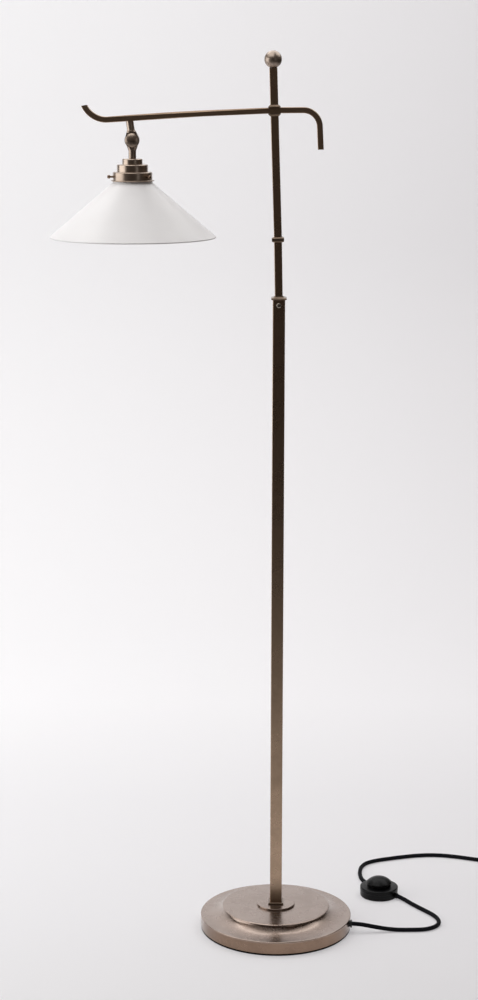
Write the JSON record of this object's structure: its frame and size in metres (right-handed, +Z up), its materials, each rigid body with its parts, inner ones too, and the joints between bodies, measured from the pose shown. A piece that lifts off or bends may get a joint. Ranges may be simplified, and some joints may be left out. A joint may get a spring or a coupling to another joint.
{
  "type": "bridge floor lamp",
  "caption": "Bridge floor lamp: a square telescopic stand on a round weighted base, a curled square arm and a tilting white glass coolie shade, with a foot switch on its lead",
  "frame": {"origin": "on the floor under the centre of the round base", "axes": "+Z up along the column; the arm lies along X with the shade towards -X and the short bent end towards +X; the front faces -Y"},
  "size_m": [0.8577, 0.4443, 1.4064],
  "materials": {
    "pad": "matt black",
    "iron": "rough cast",
    "bronze": "satin antique bronze plate",
    "dark_bronze": "satin antique bronze plate, darker",
    "bright_steel": "bright",
    "steel": "zinc plated",
    "brass": "plain",
    "rubber": "matt",
    "black_plastic": "satin moulded",
    "white_plastic": "moulded",
    "flex": "insulated flex",
    "braid": "black woven braid",
    "opal_glass": "white opal, polished"
  },
  "bodies": {
    "stand": {"base_pad": "pad", "base_weight": "iron", "base_cover": "bronze", "base_disc": "bronze", "foot_flange": "bronze", "foot_block": "bronze", "base_nipple": "brass", "base_nut": "steel", "column_plug": "steel", "column_tube": "dark_bronze", "column_cap": "dark_bronze", "inner_lead": "flex", "cord_grommet": "rubber", "switch_lower_shell": "black_plastic", "switch_upper_shell": "black_plastic", "switch_block": "white_plastic", "switch_spring": "steel", "cord_base_to_switch": "braid", "cord_switch_to_coil": "braid", "cord_coil": "braid", "cord_coil_to_plug": "braid", "plug_relief": "rubber", "plug_body": "black_plastic", "plug_pins": "brass"},
    "clamp": {"clamp_screw": "bright_steel"},
    "mast": {"slider_tube": "dark_bronze", "slider_bush": "white_plastic", "mast_coupling": "dark_bronze", "mast_tube": "dark_bronze", "mast_plug": "steel", "lower_cross_collar": "dark_bronze", "upper_cross_collar": "dark_bronze", "top_tube": "dark_bronze", "top_plug": "steel", "tie_rod": "steel", "finial_ball": "bronze", "arm_tube": "dark_bronze", "arm_end_caps": "dark_bronze", "arm_nipple": "brass", "knuckle_upper": "bronze", "knuckle_screw": "steel", "knuckle_rear_cap": "bronze", "mast_flex": "flex"},
    "head": {"knuckle_lower": "bronze", "knuckle_front_cap": "bronze", "gallery_cap": "bronze", "gallery": "bronze", "lampholder_cap": "white_plastic", "lampholder_body": "white_plastic", "lampholder_contacts": "brass", "head_flex": "flex", "bulb_cap": "steel", "bulb_glass": "opal_glass", "shade": "opal_glass"},
    "thumb_1": {"thumb_screw_1": "bright_steel"},
    "thumb_2": {"thumb_screw_2": "bright_steel"},
    "thumb_3": {"thumb_screw_3": "bright_steel"},
    "button": {"switch_button": "black_plastic"}
  },
  "joints": [
    {"name": "mast_height", "type": "slide", "parent": "stand", "child": "mast", "axis": [-0.0192, 0, 0.9998], "range_m": [-0.078, 0.02]},
    {"name": "shade_tilt", "type": "hinge", "parent": "mast", "child": "head", "pos_m": [-0.22484, 0, 1.27199], "axis": [0, 1, 0], "range_deg": [-45, 45]},
    {"name": "clamp_turn_out", "type": "slide", "parent": "stand", "child": "clamp", "axis": [0, -1, 0], "range_m": [0, 0.003]},
    {"name": "button_press", "type": "slide", "parent": "stand", "child": "button", "axis": [0, 0, -1], "range_m": [0, 0.003], "stiffness_N_per_m": 900, "springref_m": -0.003, "deforming": ["switch_spring"]},
    {"name": "thumb_screw_1_out", "type": "slide", "parent": "head", "child": "thumb_1", "axis": [-0.9511, -0.309, 0], "range_m": [0, 0.004]},
    {"name": "thumb_screw_2_out", "type": "slide", "parent": "head", "child": "thumb_2", "axis": [0.7431, -0.6691, 0], "range_m": [0, 0.004]},
    {"name": "thumb_screw_3_out", "type": "slide", "parent": "head", "child": "thumb_3", "axis": [0.2079, 0.9781, 0], "range_m": [0, 0.004]}
  ]
}
